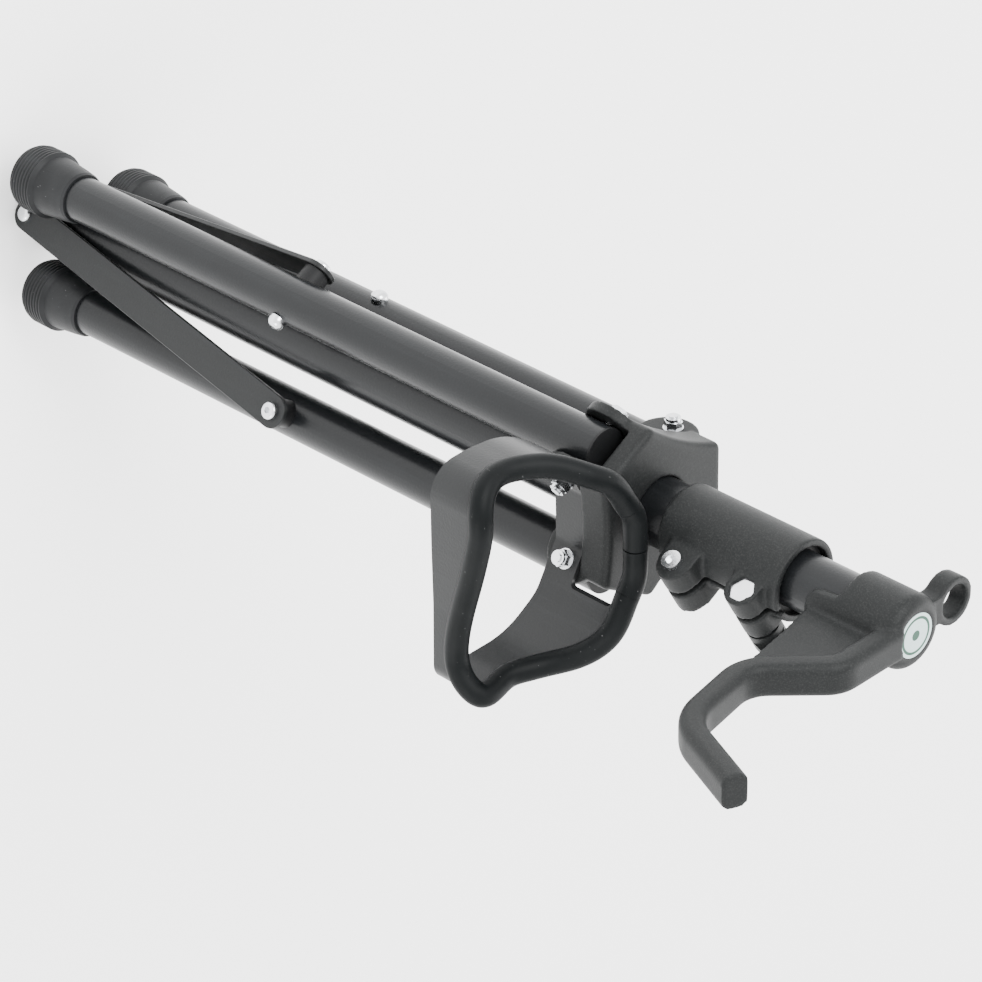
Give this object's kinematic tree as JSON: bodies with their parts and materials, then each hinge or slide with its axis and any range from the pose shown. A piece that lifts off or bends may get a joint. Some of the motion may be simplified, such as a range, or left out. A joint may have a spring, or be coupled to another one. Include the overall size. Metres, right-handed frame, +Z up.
{
  "type": "saxophone stand",
  "caption": "Folding tripod saxophone stand with a rubber-rimmed support ring, sliding post, height-adjustable bell hook and hanging eyelet, shown folded.",
  "frame": {"origin": "centre of the flat underside of the hub at the foot of the post, on the post's axis", "axes": "+Z up the post toward the hook, +X to the front where the support ring and the hook's arm reach out, +Y to the left"},
  "size_m": [0.1843, 0.1105, 0.5763],
  "materials": {
    "powder_coat": "satin black powder coat on steel",
    "rubber": "matte black rubber",
    "black_nylon": "grained black glass-filled nylon",
    "dark_nylon": "plain black nylon",
    "pale_nylon": "natural nylon",
    "zinc_steel": "bright zinc-plated steel",
    "brass": "turned brass",
    "badge": "printed label under clear lacquer"
  },
  "bodies": {
    "head": {"head_casting": "black_nylon", "support_band": "powder_coat", "rim_rubber": "rubber", "leg_pivot_bolts": "zinc_steel", "leg_pivot_washers": "zinc_steel", "leg_pivot_nuts": "zinc_steel"},
    "post": {"post_tube": "powder_coat", "brace_hub": "pale_nylon", "hub_pin": "zinc_steel", "clamp_sleeve": "black_nylon", "sleeve_screw": "zinc_steel", "sleeve_nut": "zinc_steel", "clamp_bolt": "zinc_steel", "clamp_washer": "zinc_steel", "guide_bush": "dark_nylon"},
    "knob": {"clamp_knob": "black_nylon", "knob_insert": "brass"},
    "slider": {"slider_bush": "dark_nylon"},
    "hook": {"extension_tube": "powder_coat", "hook_head": "black_nylon", "badge": "badge"},
    "leg_1": {"leg_tube_1": "powder_coat", "leg_plug_1": "dark_nylon", "foot_cap_1": "rubber", "brace_spacer_1": "dark_nylon", "brace_bolt_1": "zinc_steel", "brace_nut_1": "zinc_steel"},
    "brace_1": {"brace_bar_1": "powder_coat", "hub_rivet_1": "zinc_steel"},
    "leg_2": {"leg_tube_2": "powder_coat", "leg_plug_2": "dark_nylon", "foot_cap_2": "rubber", "brace_spacer_2": "dark_nylon", "brace_bolt_2": "zinc_steel", "brace_nut_2": "zinc_steel"},
    "brace_2": {"brace_bar_2": "powder_coat", "hub_rivet_2": "zinc_steel"},
    "leg_3": {"leg_tube_3": "powder_coat", "leg_plug_3": "dark_nylon", "foot_cap_3": "rubber", "brace_spacer_3": "dark_nylon", "brace_bolt_3": "zinc_steel", "brace_nut_3": "zinc_steel"},
    "brace_3": {"brace_bar_3": "powder_coat", "hub_rivet_3": "zinc_steel"}
  },
  "joints": [
    {"name": "post_rise", "type": "slide", "parent": "head", "child": "post", "axis": [0, 0, 1], "range_m": [0, 0.13667]},
    {"name": "leg_1_fold", "type": "hinge", "parent": "head", "child": "leg_1", "pos_m": [0.0165, -0.02858, 0.3934], "axis": [-0.866, -0.5, 0], "range_deg": [0, 45]},
    {"name": "brace_1_pivot", "type": "hinge", "parent": "leg_1", "child": "brace_1", "pos_m": [0.01715, -0.02971, 0.207], "axis": [-0.866, -0.5, 0], "range_deg": [-90.31, 0]},
    {"name": "leg_2_fold", "type": "hinge", "parent": "head", "child": "leg_2", "pos_m": [-0.033, 0, 0.3934], "axis": [0, 1, 0], "range_deg": [0, 45]},
    {"name": "brace_2_pivot", "type": "hinge", "parent": "leg_2", "child": "brace_2", "pos_m": [-0.0343, 0, 0.207], "axis": [0, 1, 0], "range_deg": [-90.31, 0]},
    {"name": "leg_3_fold", "type": "hinge", "parent": "head", "child": "leg_3", "pos_m": [0.0165, 0.02858, 0.3934], "axis": [0.866, -0.5, 0], "range_deg": [0, 45]},
    {"name": "brace_3_pivot", "type": "hinge", "parent": "leg_3", "child": "brace_3", "pos_m": [0.01715, 0.02971, 0.207], "axis": [0.866, -0.5, 0], "range_deg": [-90.31, 0]},
    {"name": "clamp_knob_turn", "type": "hinge", "parent": "post", "child": "knob", "pos_m": [0.00997, 0.02192, 0.4835], "axis": [-0.5, 0.866, 0], "range_deg": [0, 360]},
    {"name": "height_slide", "type": "slide", "parent": "post", "child": "slider", "axis": [0, 0, 1], "range_m": [-0.006, 0.18]},
    {"name": "hook_swivel", "type": "hinge", "parent": "slider", "child": "hook", "pos_m": [0, 0, 0.4], "axis": [0, 0, 1], "continuous": true}
  ],
  "couplings": [
    {"joint": "leg_1_fold", "follows": "post_rise", "rad_per_m": 5.7468},
    {"joint": "brace_1_pivot", "follows": "post_rise", "rad_per_m": -11.533},
    {"joint": "leg_2_fold", "follows": "post_rise", "rad_per_m": 5.7468},
    {"joint": "brace_2_pivot", "follows": "post_rise", "rad_per_m": -11.533},
    {"joint": "leg_3_fold", "follows": "post_rise", "rad_per_m": 5.7468},
    {"joint": "brace_3_pivot", "follows": "post_rise", "rad_per_m": -11.533}
  ]
}
